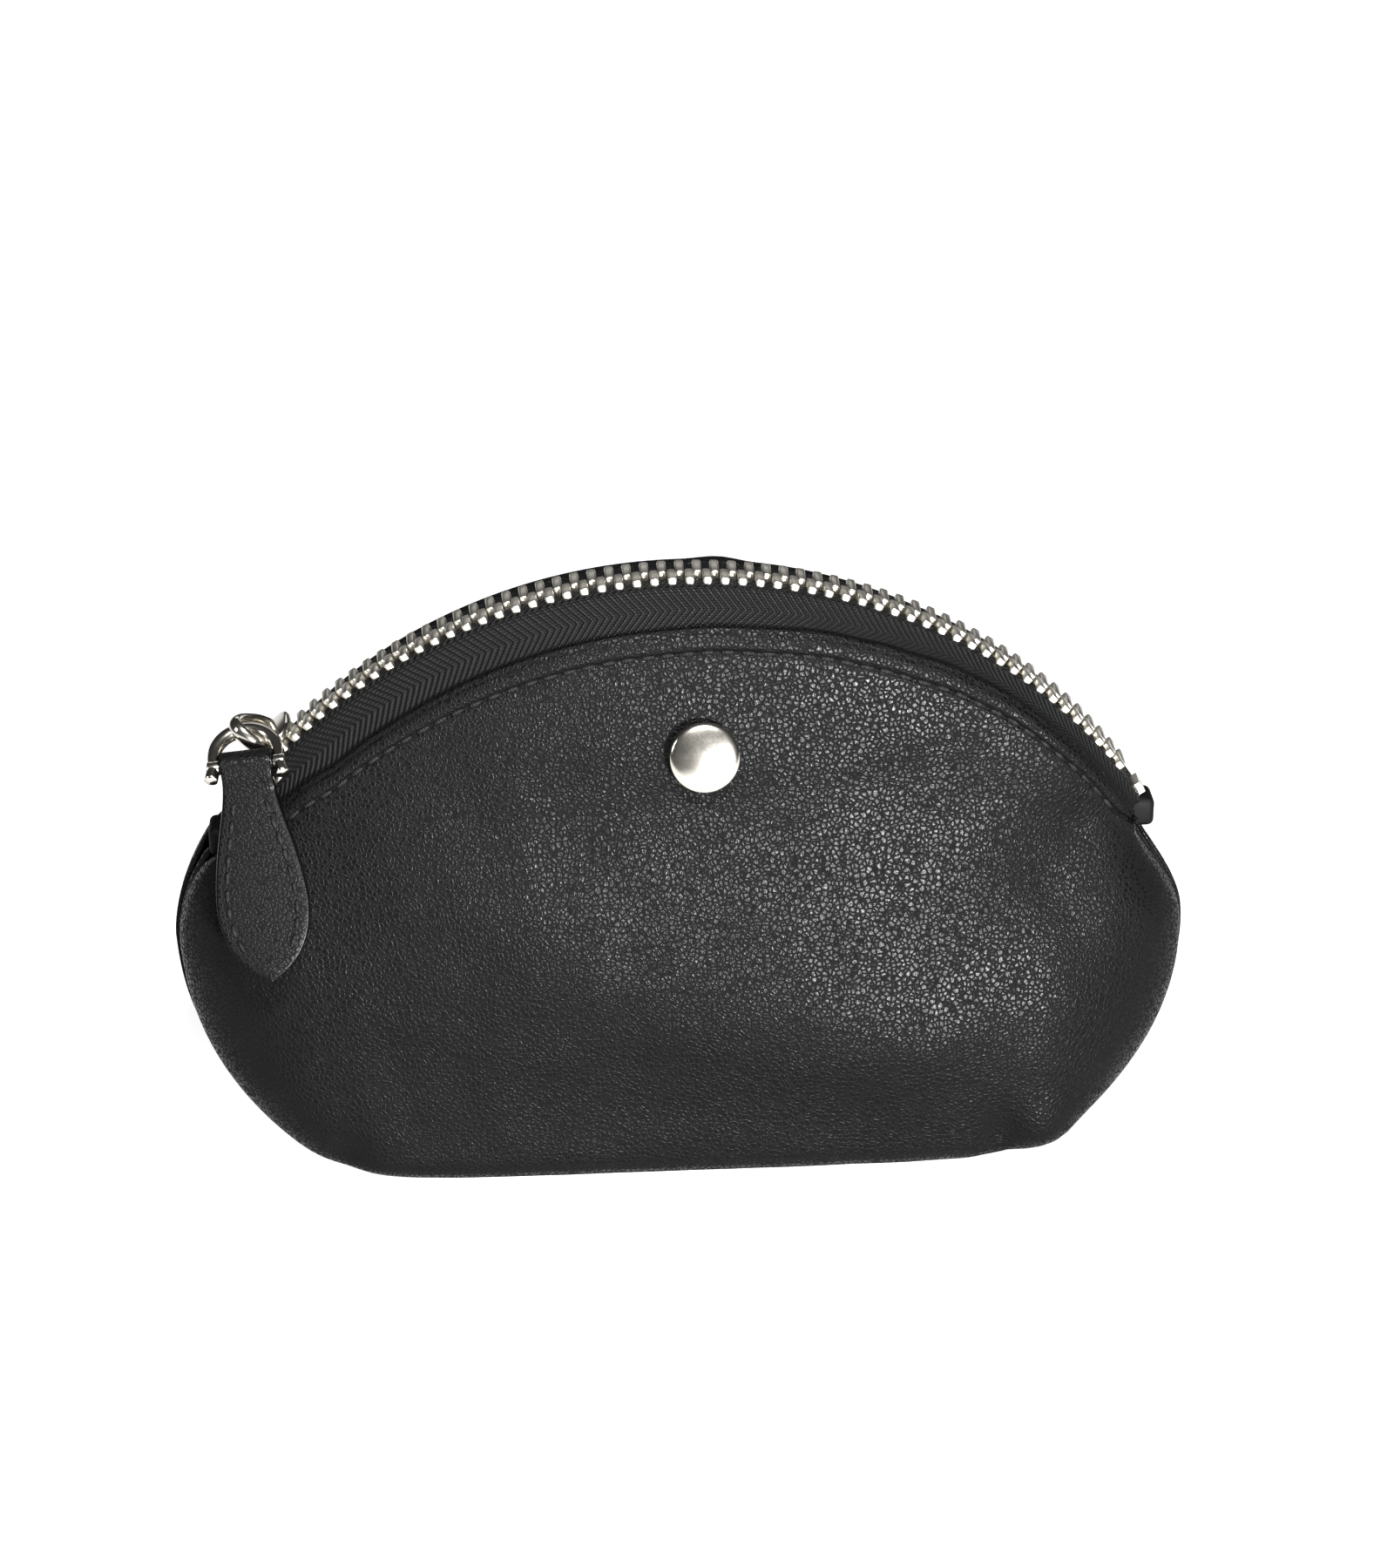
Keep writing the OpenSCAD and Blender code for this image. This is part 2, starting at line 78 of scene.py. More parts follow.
zipShape = dict(toothThickness=2.3, halfAngle=57.0, tapeThickness=0.55)
zipRadius = teethHigh.z - zipCentre.z - zipShape["toothThickness"] / 2
halfWidth = panelHigh.x
halfDepth = baseHigh.y


def smooth(value):
    value = min(1.0, max(0.0, value))
    return value * value * (3 - 2 * value)


def mixed(low, high, share):
    return low + (high - low) * share


def polar(radius, angle, y=0.0):
    turn = math.radians(angle)
    return Vector((radius * math.sin(turn), y, zipCentre.z + radius * math.cos(turn)))


# ---- building helpers ----
def newObject(name, mesh, material, smoothFaces=True):
    piece = bpy.data.objects.new(name, mesh)
    bpy.context.scene.collection.objects.link(piece)
    mesh.materials.append(material)
    for polygon in mesh.polygons:
        polygon.use_smooth = smoothFaces
    return piece


def fromBmesh(name, shape, material, smoothFaces=True):
    bmesh.ops.transform(shape, matrix=Matrix.Scale(mm, 4), verts=shape.verts)
    mesh = bpy.data.meshes.new(name)
    shape.to_mesh(mesh)
    shape.free()
    return newObject(name, mesh, material, smoothFaces)


# A grid of quads whose every vertex is placed by a rule of its column and row, with a UV map in mm.
def mappedGrid(columns, rows, placeOf, uvOf=None, wrap=False):
    shape = bmesh.new()
    bmesh.ops.create_grid(shape, x_segments=columns, y_segments=rows, size=0.5)
    uvLayer = shape.loops.layers.uv.new("UVMap")
    cells = {}
    for vert in shape.verts:
        cells[vert] = (round((vert.co.x + 0.5) * columns), round((vert.co.y + 0.5) * rows))
    if uvOf:
        for face in shape.faces:
            for loop in face.loops:
                loop[uvLayer].uv = uvOf(*cells[loop.vert])
    for vert, (column, row) in cells.items():
        vert.co = placeOf(column, row)
    if wrap:
        bmesh.ops.remove_doubles(shape, verts=shape.verts, dist=0.002)
        bmesh.ops.recalc_face_normals(shape, faces=shape.faces)
    return shape


def bevelAll(shape, offset, segments=2, minAngle=30.0):
    sharp = [edge for edge in shape.edges
             if len(edge.link_faces) == 2 and edge.calc_face_angle() > math.radians(minAngle)]
    bmesh.ops.bevel(shape, geom=sharp, offset=offset, offset_type="OFFSET", segments=segments,
                    profile=0.5, affect="EDGES", material=-1, clamp_overlap=True)


def thicken(piece, thickness, offset=-1.0):
    wall = piece.modifiers.new("wall", "SOLIDIFY")
    wall.thickness = thickness * mm
    wall.offset = offset


def addInto(target, extra):
    mesh = bpy.data.meshes.new("part")
    extra.to_mesh(mesh)
    extra.free()
    target.from_mesh(mesh)
    bpy.data.meshes.remove(mesh)


# ---- shader helpers ----
class Wire:  # a shader socket that takes part in plain arithmetic
    def __init__(self, recipe, socket):
        self.recipe = recipe
        self.socket = socket

    def maths(self, operation, *values):
        return self.recipe.node("ShaderNodeMath", dict(operation=operation), dict(enumerate(values)))

    def __add__(self, other):
        return self.maths("ADD", self, other)

    def __radd__(self, other):
        return self.maths("ADD", other, self)

    def __sub__(self, other):
        return self.maths("SUBTRACT", self, other)

    def __rsub__(self, other):
        return self.maths("SUBTRACT", other, self)

    def __mul__(self, other):
        return self.maths("MULTIPLY", self, other)

    def __rmul__(self, other):
        return self.maths("MULTIPLY", other, self)

    def __truediv__(self, other):
        return self.maths("DIVIDE", self, other)

    def __pow__(self, other):
        return self.maths("POWER", self, other)

    def ramp(self, low, high, bottom=0.0, top=1.0):
        return self.recipe.node("ShaderNodeMapRange", dict(interpolation_type="SMOOTHSTEP"), {
            "Value": self, "From Min": low, "From Max": high, "To Min": bottom, "To Max": top})


class Recipe:  # one material, with every node added by the same method
    def __init__(self, name, **constants):
        self.material = bpy.data.materials.new(name)
        self.material.use_nodes = True
        self.tree = self.material.node_tree
        self.surface = self.tree.nodes["Principled BSDF"]
        for key, value in constants.items():
            self.surface.inputs[key.replace("_", " ")].default_value = value

    def node(self, kind, settings=None, sockets=None, output=0):
        made = self.tree.nodes.new(kind)
        for key, value in (settings or {}).items():
            setattr(made, key, value)
        for key, value in (sockets or {}).items():
            if isinstance(value, Wire):
                self.tree.links.new(value.socket, made.inputs[key])
            else:
                made.inputs[key].default_value = value
        return Wire(self, made.outputs[output])

    def feed(self, name, wire):
        self.tree.links.new(wire.socket, self.surface.inputs[name])

    def places(self):
        return self.node("ShaderNodeTexCoord", output="Object")

    def axis(self, where, letter):
        return self.node("ShaderNodeSeparateXYZ", {}, {"Vector": where}, letter)

    def noiseAt(self, where, scale, detail=2.0, rough=0.5):
        return self.node("ShaderNodeTexNoise", {}, {
            "Vector": where, "Scale": scale, "Detail": detail, "Roughness": rough}, "Fac")

    def cells(self, where, scale, feature="DISTANCE_TO_EDGE", output="Distance"):
        return self.node("ShaderNodeTexVoronoi", dict(feature=feature), {
            "Vector": where, "Scale": scale}, output)

    def blendColours(self, share, low, high):
        return self.node("ShaderNodeMix", dict(data_type="RGBA"), {0: share, 6: low, 7: high}, 2)

    def bump(self, height, strength, distance, onto=None):
        sockets = {"Height": height, "Strength": strength, "Distance": distance}
        if onto:
            sockets["Normal"] = onto
        return self.node("ShaderNodeBump", {}, sockets)


leatherLook = dict(pebbleSize=0.64, fineSize=0.36, groove=0.24, relief=0.080, darkest=0.0003, lightest=0.001,
                   shineLevel=0.055, dulling=0.6)


def leatherMaterial(name, pebble=1.0, gloss=0.20, edgePaint=False, grain=1.0):
    look = leatherLook
    recipe = Recipe(name, Specular_IOR_Level=look["shineLevel"])
    where = recipe.places()
    wander = recipe.node("ShaderNodeTexNoise", {}, {
        "Vector": where, "Scale": 420.0, "Detail": 2.0}, "Color")
    bent = recipe.node("ShaderNodeMix", dict(data_type="VECTOR"), {0: 0.0006, 4: where, 5: wander}, 1)
    pebbles = recipe.cells(bent, 1 / (look["pebbleSize"] * grain * mm)).ramp(0.0, look["groove"])
    small = recipe.cells(bent, 1 / (look["fineSize"] * mm)).ramp(0.0, 0.3)
    pores = recipe.noiseAt(where, 5200.0, 3.0, 0.6)
    patches = recipe.noiseAt(where, 38.0, 3.0, 0.55)
    softness = patches.ramp(0.32, 0.68, 0.55, 1.0)
    height = pebbles * softness * 0.72 + small * 0.2 + pores * 0.16
    shine = gloss + (1 - pebbles) * look["dulling"] + (1 - patches) * 0.10 + pores * 0.05
    if edgePaint:
        paint = recipe.node("ShaderNodeAttribute", dict(attribute_name="edgePaint"), {}, "Fac")
        bare = 1 - paint
        height = height * bare
        shine = shine * bare + paint * 0.24
    colour = recipe.blendColours(pebbles * 0.6 + patches * 0.4,
                                 (look["darkest"],) * 3 + (1,),
                                 (look["lightest"], look["lightest"], look["lightest"] * 1.08, 1))
    recipe.feed("Base Color", colour)
    recipe.feed("Roughness", shine)
    recipe.feed("Normal", recipe.bump(height, 0.9 * pebble, look["relief"] * mm))
    return recipe.material


def metalMaterial(name, colour, gloss, smudge=0.10, dents=0.02):
    recipe = Recipe(name, Metallic=1.0)
    where = recipe.places()
    film = recipe.noiseAt(where, 260.0, 4.0, 0.6)
    grain = recipe.noiseAt(where, 3800.0, 2.0)
    recipe.feed("Base Color", recipe.blendColours(film, tuple(c * 0.86 for c in colour) + (1,), colour + (1,)))
    recipe.feed("Roughness", gloss + film * smudge + grain * 0.04)
    recipe.feed("Normal", recipe.bump(film + grain * 0.25, 0.35, dents * mm))
    return recipe.material


tapeLook = dict(rib=0.95, band=2.6, relief=0.22)


# Herringbone tape: ribs run at a slant that turns over from one band to the next.
def tapeMaterial(name):
    look = tapeLook
    recipe = Recipe(name, Specular_IOR_Level=0.06)
    where = recipe.node("ShaderNodeUVMap", dict(uv_map="UVMap"))
    along, across = recipe.axis(where, "X"), recipe.axis(where, "Y")
    bandPlace = (across / look["band"]).maths("PINGPONG", across / look["band"], 1.0)
    slant = along / look["rib"] + bandPlace * 2.4
    rib = slant.maths("PINGPONG", slant, 0.5) * 2
    yarn = (across / 0.34).maths("PINGPONG", across / 0.34, 0.5) * 2
    fuzz = recipe.noiseAt(recipe.places(), 3000.0, 3.0, 0.7)
    height = rib.ramp(0.08, 0.85) * 0.75 + yarn.ramp(0.1, 0.7) * 0.22 + fuzz * 0.22
    recipe.feed("Base Color", recipe.blendColours(height, (0.0003, 0.0003, 0.0003, 1), (0.0016, 0.0016, 0.0017, 1)))
    recipe.feed("Roughness", 0.58 - rib.ramp(0.35, 0.95) * (yarn * 0.6 + 0.3) * 0.3 + fuzz * 0.1)
    recipe.feed("Normal", recipe.bump(height, 1.0, look["relief"] * mm))
    return recipe.material


def clothMaterial(name, colour, pitch, relief):
    recipe = Recipe(name, Specular_IOR_Level=0.3, Sheen_Weight=0.2)
    where = recipe.places()
    sideways = recipe.axis(where, "X") / (pitch * mm)
    upwards = recipe.axis(where, "Z") / (pitch * mm)
    warp = sideways.maths("PINGPONG", sideways, 0.5) * 2
    weft = upwards.maths("PINGPONG", upwards, 0.5) * 2
    fuzz = recipe.noiseAt(where, 2400.0, 3.0, 0.7)
    height = warp * weft + fuzz * 0.4
    recipe.feed("Base Color", recipe.blendColours(height, tuple(c * 0.5 for c in colour) + (1,), colour + (1,)))
    recipe.feed("Roughness", 0.78 + fuzz * 0.15)
    recipe.feed("Normal", recipe.bump(height, 0.8, relief * mm))
    return recipe.material


def threadMaterial(name):
    recipe = Recipe(name, Specular_IOR_Level=0.1)
    where = recipe.places()
    twist = (recipe.axis(where, "X") + recipe.axis(where, "Z") * 0.6) / (0.42 * mm)
    ply = twist.maths("PINGPONG", twist, 0.5) * 2
    fuzz = recipe.noiseAt(where, 5200.0, 2.0, 0.7)
    recipe.feed("Base Color", recipe.blendColours(ply, (0.0003, 0.0003, 0.0003, 1), (0.003, 0.003, 0.0032, 1)))
    recipe.feed("Roughness", 0.55 + fuzz * 0.2)
    recipe.feed("Normal", recipe.bump(ply + fuzz * 0.3, 0.9, 0.06 * mm))
    return recipe.material


pebbledLeather = leatherMaterial("pebbled_leather")
tabLeather = leatherMaterial("tab_leather", pebble=0.7, gloss=0.26, edgePaint=True, grain=0.9)
zipTape = tapeMaterial("herringbone_tape")
liningCloth = clothMaterial("lining_cloth", (0.035, 0.035, 0.038), 0.5, 0.08)
fibreBoard = clothMaterial("fibre_board", (0.32, 0.28, 0.23), 1.4, 0.05)
blackThread = threadMaterial("black_thread")
nickelTeeth = metalMaterial("nickel_teeth", (0.46, 0.44, 0.39), 0.26, 0.14)
polishedNickel = metalMaterial("polished_nickel", (0.62, 0.59, 0.53), 0.09, 0.10, 0.012)
print("materials made")

# ---- the purse's own shape ----
bodyShape = dict(
    baseWidth=97.0, baseHalfDepth=17.5, rollHeight=3.5, widestHeight=28.0, flare=0.68, bulge=0.8,
    hemY=7.5, hemEndY=6.2, crownPower=1.8, sidePower=6.0, wallThickness=0.55)
# How far the top edges lie below the teeth, by angle along the arc.
frontDrops = [(-57, 1.7), (-48, 3.7), (-42, 4.8), (-31, 5.1), (-20, 5.1), (-5, 4.9), (6, 4.4), (18, 3.5),
              (24, 3.0), (31, 2.2), (38, 1.7), (48, 1.5), (57, 1.6)]
backDrops = [(-57, 1.7), (-45, 2.2), (-30, 2.0), (0, 2.0), (4, 1.6), (8, 2.1), (30, 2.4), (45, 2.3), (57, 1.7)]
# Sideways swells of the whole outline: height, half-height and how far it goes out on each side.
sideSwells = [(-1, 39, 11, 1.5), (1, 39, 7, -1.7), (1, 12, 14, 0.5)]
cornerX = zipRadius * math.sin(math.radians(zipShape["halfAngle"]))
cornerZ = zipCentre.z + zipRadius * math.cos(math.radians(zipShape["halfAngle"]))


def widthAt(z):
    shape = bodyShape
    half, widest = shape["baseWidth"] / 2, halfWidth + shape["bulge"]
    if z < shape["widestHeight"]:
        rise = (max(z, 0.0) / shape["widestHeight"]) ** shape["flare"]
        return half + (widest - half) * math.sin(math.pi / 2 * rise)
    fall = min(1.0, (z - shape["widestHeight"]) / (cornerZ - shape["widestHeight"]))
    return widest - (widest - cornerX) * fall ** 1.6


def depthAt(z):
    roll = 1 - min(1.0, z / bodyShape["rollHeight"])
    return halfDepth - 0.2 - (halfDepth - bodyShape["baseHalfDepth"]) * roll ** 2.4


# Boxed near the base, and rounder towards the widest part.
def sectionAt(k, z):
    power = 3 + 6 * (1 - min(1.0, z / 30)) ** 2
    return max(0.0, 1 - abs(k) ** power) ** 0.45


def readTable(table, at):
    at = min(max(at, table[0][0]), table[-1][0])
    for (lowAt, low), (highAt, high) in zip(table, table[1:]):
        if at <= highAt:
            return mixed(low, high, smooth((at - lowAt) / (highAt - lowAt)))


def hemDepth(k):
    return mixed(bodyShape["hemY"], bodyShape["hemEndY"], smooth((abs(k) - 0.8) / 0.2))


hemPoints = {}


def hemPoint(k, side):
    if (k, side) not in hemPoints:
        angle = math.degrees(math.asin(k * math.sin(math.radians(zipShape["halfAngle"]))))
        drop = readTable(frontDrops if side > 0 else backDrops, angle)
        hemPoints[k, side] = polar(zipRadius - drop, angle, -hemDepth(k))
    return hemPoints[k, side]


# A point of the front wall's smooth form: k from side to side, t from the table to the top edge.
def plainWall(k, t, side):
    top = hemPoint(k, side)
    z = top.z * t
    lean = max(0.0, t) ** (bodyShape["crownPower"] + bodyShape["sidePower"] * abs(k) ** 8)
    low = 0.25 + (depthAt(z) - 0.25) * sectionAt(k, z)
    x = k * widthAt(z) + (top.x - k * widthAt(top.z)) * t ** 3
    return Vector((x, top.y * lean - low * (1 - lean), z))


# Soft dents and swells: place across, height, half-widths and how far the leather stands out.
frontRelief = [
    (24, 20, 24, 11, 2.0), (-20, 27, 24, 12, 0.5), (-33, 14, 12, 9, -0.9), (4, 10, 24, 5, -0.3),
    (47, 18, 6, 12, 0.8), (50, 40, 8, 10, -1.2), (-47, 40, 8, 9, -0.6), (33, 47, 14, 8, -0.7),
    (-8, 47, 18, 8, -0.6), (40, 3.0, 2.4, 4.5, -1.6), (45.5, 4.0, 4.0, 5.0, 1.5), (-45, 3, 2.2, 3.0, -1.0),
]
backRelief = [
    (-24, 29, 21, 13, 0.7), (22, 20, 18, 11, -0.8), (-46, 16, 7, 11, 0.6), (44, 38, 9, 9, -0.6),
    (4, 44, 17, 7, -0.4), (-42, 7, 3.2, 6, -0.9), (43, 6, 3.4, 5, -0.8),
]


def reliefAt(x, z, side):
    total = 0.0
    for atX, atZ, wide, tall, out in (frontRelief if side > 0 else backRelief):
        total += out * math.exp(-((x - atX) / wide) ** 2 - ((z - atZ) / tall) ** 2)
    total += 0.5 * noise.noise(Vector((x * 0.045, z * 0.07, side * 3.1)))
    total += 0.16 * noise.noise(Vector((x * 0.17, z * 0.2, side * 5.7)))
    return total


def wallNormal(k, t, side):
    step = 0.002
    inner = min(abs(k), 0.985) * (1 if k >= 0 else -1)
    across = plainWall(inner + step, t, side) - plainWall(inner - step, t, side)
    up = plainWall(inner, min(1.0, t + step), side) - plainWall(inner, max(0.0, t - step), side)
    return across.cross(up).normalized()


# The finished surface, pushed out by a few millimetres or in; side is 1 in front and -1 at the back.
def wallPoint(k, t, out=0.0, side=1):
    place = plainWall(k, t, side)
    calm = smooth((1 - t) / 0.2) * smooth((1 - abs(k)) / 0.12)
    ground = smooth(place.z / 4.0)
    swell = reliefAt(place.x, place.z, side) * calm * mixed(0.45, 1.0, ground)
    place = place + wallNormal(k, t, side) * (swell + out)
    place.y = min(place.y, -0.12)
    for hand, height, tall, reach in sideSwells:
        if place.x * hand > 0:
            place.x += hand * reach * math.exp(-((place.z - height) / tall) ** 2) * smooth(abs(k)) * smooth((1 - t) / 0.1)
    place.z = max(place.z, 0.0)
    return Vector((place.x, place.y * side, place.z))


# ---- leather walls with their turned top edge ----
skin = dict(columns=132, lowRows=60, edgeRows=30, edgeReach=5.0, rollRadius=0.72, rollRows=9, turnIn=5.0,
            stitchDrop=2.3, grooveDepth=0.26, grooveHalf=0.34, puff=0.34)
rowCount = skin["lowRows"] + skin["edgeRows"] + skin["rollRows"] + 4


def columnShare(column):
    return math.sin(math.pi / 2 * (2 * column / skin["columns"] - 1))


# How far the hem's surface stands out at a distance below the top edge.
def hemProfile(drop):
    puff = skin["puff"] * math.sin(math.pi * min(1.0, drop / skin["stitchDrop"])) ** 0.6 \
        if drop < skin["stitchDrop"] else 0.0
    groove = skin["grooveDepth"] * math.exp(-((drop - skin["stitchDrop"]) / skin["grooveHalf"]) ** 2)
    ease = 0.12 * math.exp(-max(0.0, drop - skin["stitchDrop"]) / 1.6)
    return puff - groove + ease


def skinPlace(column, row, side):
    k = columnShare(column)
    height = hemPoint(k, side).z
    edgeShare = 1 - skin["edgeReach"] / height
    if row <= skin["lowRows"]:
        return wallPoint(k, edgeShare * row / skin["lowRows"], hemProfile(skin["edgeReach"]) * row / skin["lowRows"], side)
    row -= skin["lowRows"]
    if row <= skin["edgeRows"]:
        drop = skin["edgeReach"] * (1 - row / skin["edgeRows"])
        return wallPoint(k, 1 - drop / height, hemProfile(drop), side)
    row -= skin["edgeRows"]
    top = wallPoint(k, 1, 0, side)
    radius = skin["rollRadius"]
    if row <= skin["rollRows"]:
        turn = math.pi * row / skin["rollRows"]
        return top + Vector((0, side * radius * (1 - math.cos(turn)), radius * math.sin(turn)))
    drop = skin["turnIn"] * (row - skin["rollRows"]) / 4
    below = wallPoint(k, 1 - drop / height, -2 * radius, side)
    return Vector((below.x, below.y, below.z))


def makeWall(name, side, replaced):
    shape = mappedGrid(skin["columns"], rowCount, lambda column, row: skinPlace(column, row, side))
    if side > 0:
        bmesh.ops.recalc_face_normals(shape, faces=shape.faces)
    facing = sum((face.normal.y * face.calc_area() for face in shape.faces), 0.0)
    if facing * side > 0:
        bmesh.ops.reverse_faces(shape, faces=shape.faces)
    piece = fromBmesh(name, shape, pebbledLeather)
    thicken(piece, bodyShape["wallThickness"])
    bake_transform(piece)
    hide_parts(*replaced)
    return piece


frontLeather = makeWall("front_leather", 1, ["front_panel", "front_hem"])
backLeather = makeWall("back_leather", -1, ["back_panel", "back_hem"])
print("leather walls made")


# The base is one flat leather piece that meets both walls.
def makeBase():
    columns, rows = 60, 16

    def place(column, row):
        k = math.sin(math.pi / 2 * (2 * column / columns - 1))
        share = 2 * row / rows - 1
        rim = wallPoint(k, 0.0, -0.2, 1)
        dome = 0.5 * (1 - share * share) * (1 - k * k)
        return Vector((rim.x, rim.y * -share, 0.05 + dome))

    shape = mappedGrid(columns, rows, place)
    bmesh.ops.recalc_face_normals(shape, faces=shape.faces)
    if sum(face.normal.z for face in shape.faces) > 0:
        bmesh.ops.reverse_faces(shape, faces=shape.faces)
    piece = fromBmesh("base_leather", shape, pebbledLeather)
    thicken(piece, 0.8)
    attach(piece, "root")
    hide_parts("base_panel")


makeBase()


# ---- lining ----
def makeLining(name, side, node):
    columns, rows = 64, 30

    def place(column, row):
        k = 0.985 * math.sin(math.pi / 2 * (2 * column / columns - 1))
        return wallPoint(k, mixed(0.03, 0.955, row / rows), -1.9, side)

    shape = mappedGrid(columns, rows, place)
    bmesh.ops.recalc_face_normals(shape, faces=shape.faces)
    if sum(face.normal.y * side for face in shape.faces) < 0:
        bmesh.ops.reverse_faces(shape, faces=shape.faces)
    piece = fromBmesh(name, shape, liningCloth)
    thicken(piece, 0.3)
    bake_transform(piece)
    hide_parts(node)


makeLining("front_lining_cloth", 1, "front_lining")
makeLining("back_lining_cloth", -1, "back_lining")
print("base and lining made")

# ---- zip tape ----
tape = dict(columns=180, rows=18, innerY=1.35, flatY=3.4, seat=1.25, tuck=2.4)


def makeTape(name, side, node):
    def rowPlace(angle, share):
        k = math.sin(math.radians(angle)) / math.sin(math.radians(zipShape["halfAngle"]))
        k = max(-1.0, min(1.0, k))
        start = polar(zipRadius, angle, -tape["innerY"])
        flat = polar(zipRadius - 0.1, angle, -tape["flatY"])
        top = wallPoint(k, 1.0, 0, side)
        top.y = -abs(top.y)
        seat = top + Vector((0, tape["seat"], -0.1))
        tail = wallPoint(k, 1 - tape["tuck"] / hemPoint(k, side).z, 0, side)
        tail.y = -abs(tail.y) + tape["seat"] + 0.3
        if share < 0.25:
            return start.lerp(flat, share / 0.25)
        if share < 0.8:
            f = (share - 0.25) / 0.55
            sag = 0.35 * math.sin(math.pi * f)
            return flat.lerp(seat, f) + polar(-sag, angle) - polar(0, angle)
        return seat.lerp(tail, (share - 0.8) / 0.2)

    def place(column, row):
        angle = zipShape["halfAngle"] * (2 * column / tape["columns"] - 1)
        point = rowPlace(angle, row / tape["rows"])
        return Vector((point.x, point.y * side, point.z))

    def uv(column, row):
        length = math.radians(2 * zipShape["halfAngle"]) * zipRadius
        return (length * column / tape["columns"], 10.5 * row / tape["rows"])

    shape = mappedGrid(tape["columns"], tape["rows"], place, uv)
    bmesh.ops.recalc_face_normals(shape, faces=shape.faces)
    if sum(face.normal.z for face in shape.faces) < 0:
        bmesh.ops.reverse_faces(shape, faces=shape.faces)
    piece = fromBmesh(name, shape, zipTape)
    thicken(piece, zipShape["tapeThickness"], 0.0)
    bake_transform(piece)
    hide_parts(node)


makeTape("front_zip_tape", 1, "front_tape")
makeTape("back_zip_tape", -1, "back_tape")
print("tapes made")

# ---- teeth ----
teeth = dict(pitch=2.2, firstAngle=-48.1, count=57, length=1.16, width=3.25, reach=0.42)


# One tooth: a bevelled bar with a slimmer head and a waist above the tape.
def toothShape():
    shape = bmesh.new()
    bmesh.ops.create_cube(shape, size=1.0)
    bmesh.ops.scale(shape, vec=(teeth["length"], teeth["width"], zipShape["toothThickness"]), verts=shape.verts)
    bmesh.ops.translate(shape, vec=(0, teeth["reach"] - teeth["width"] / 2, 0), verts=shape.verts)
    for vert in shape.verts:
        if vert.co.y > 0:
            vert.co.x *= 0.86
            vert.co.z *= 0.80
        else:
            vert.co.z *= 0.92
    bevelAll(shape, 0.26, 2)
    return shape


def makeTeeth(name, side, shift, node):
    row = bmesh.new()
    for index in range(teeth["count"]):
        tooth = toothShape()
        jitter = random.uniform(-0.35, 0.35)
        angle = teeth["firstAngle"] + math.degrees((index + shift) * teeth["pitch"] / zipRadius)
        if side < 0:
            bmesh.ops.mirror(tooth, geom=tooth.verts[:] + tooth.edges[:] + tooth.faces[:], axis="Y")
            far = [vert for vert in tooth.verts if vert.co.y < -teeth["reach"] - 0.01]
            bmesh.ops.delete(tooth, geom=far, context="VERTS")
            bmesh.ops.recalc_face_normals(tooth, faces=tooth.faces)
        bmesh.ops.rotate(tooth, cent=(0, 0, 0), matrix=Matrix.Rotation(math.radians(angle + jitter), 3, "Y"),
                         verts=tooth.verts)
        bmesh.ops.translate(tooth, vec=polar(zipRadius, angle), verts=tooth.verts)
        addInto(row, tooth)
    piece = fromBmesh(name, row, nickelTeeth)
    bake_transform(piece)
    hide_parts(node)


makeTeeth("front_zip_teeth", 1, 0.0, "front_teeth")
makeTeeth("back_zip_teeth", -1, 0.5, "back_teeth")
print("teeth made")

# ---- rounded wires, used for the pull, the crown and the seams ----
def curveThrough(points, count):
    points = [Vector(point) for point in points]
    ends = [points[0] * 2 - points[1]] + points + [points[-1] * 2 - points[-2]]
    spans = len(points) - 1
    result = []
    for index in range(count + 1):
        place = min(index * spans / count, spans - 1e-6)
        span, f = int(place), place % 1
        a, b, c, d = ends[span:span + 4]
        result.append(0.5 * (2 * b + (c - a) * f + (2 * a - 5 * b + 4 * c - d) * f * f
                             + (3 * b - a - 3 * c + d) * f ** 3))
    return result


# A closed wire along a path; the section is an ellipse, half as wide as each pair of numbers says.
def tube(path, sections, sideAxis, around=14):
    last = len(path) - 1
    rows = [(0, 0.0)] + [(index, 1.0) for index in range(last + 1)] + [(last, 0.0)]

    def place(column, row):
        index, size = rows[row]
        before, after = path[max(0, index - 1)], path[min(last, index + 1)]
        along = (after - before).normalized()
        side = (sideAxis - along * sideAxis.dot(along)).normalized()
        up = along.cross(side)
        wide, tall = sections(index / last)
        turn = 2 * math.pi * column / around
        return path[index] + (side * wide * math.cos(turn) + up * tall * math.sin(turn)) * size

    return mappedGrid(around, len(rows) - 1, place, wrap=True)


def smoothPiece(name, shape, material, body, replaced, levels=1):
    bmesh.ops.recalc_face_normals(shape, faces=shape.faces)
    piece = fromBmesh(name, shape, material)
    if levels:
        round_ = piece.modifiers.new("round", "SUBSURF")
        round_.levels = round_.render_levels = levels
    if body:
        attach(piece, body)
    if replaced:
        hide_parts(*replaced)
    return piece


# A block with softened edges, built at the origin.
def block(size, bevel, segments=3):
    shape = bmesh.new()
    bmesh.ops.create_cube(shape, size=1.0)
    bmesh.ops.scale(shape, vec=size, verts=shape.verts)
    bevelAll(shape, bevel, segments)
    return shape


def moved(shape, matrix):
    bmesh.ops.transform(shape, matrix=matrix, verts=shape.verts)
    return shape


# ---- slider ----
slider = dict(restAngle=47.5, plateGap=1.5, plateThickness=0.95, length=8.4, tailWidth=6.6, noseWidth=9.2)
sliderFrame = Matrix.Translation(zipCentre) @ Matrix.Rotation(-math.radians(slider["restAngle"]), 4, "Y") \
    @ Matrix.Translation((0, 0, zipRadius))


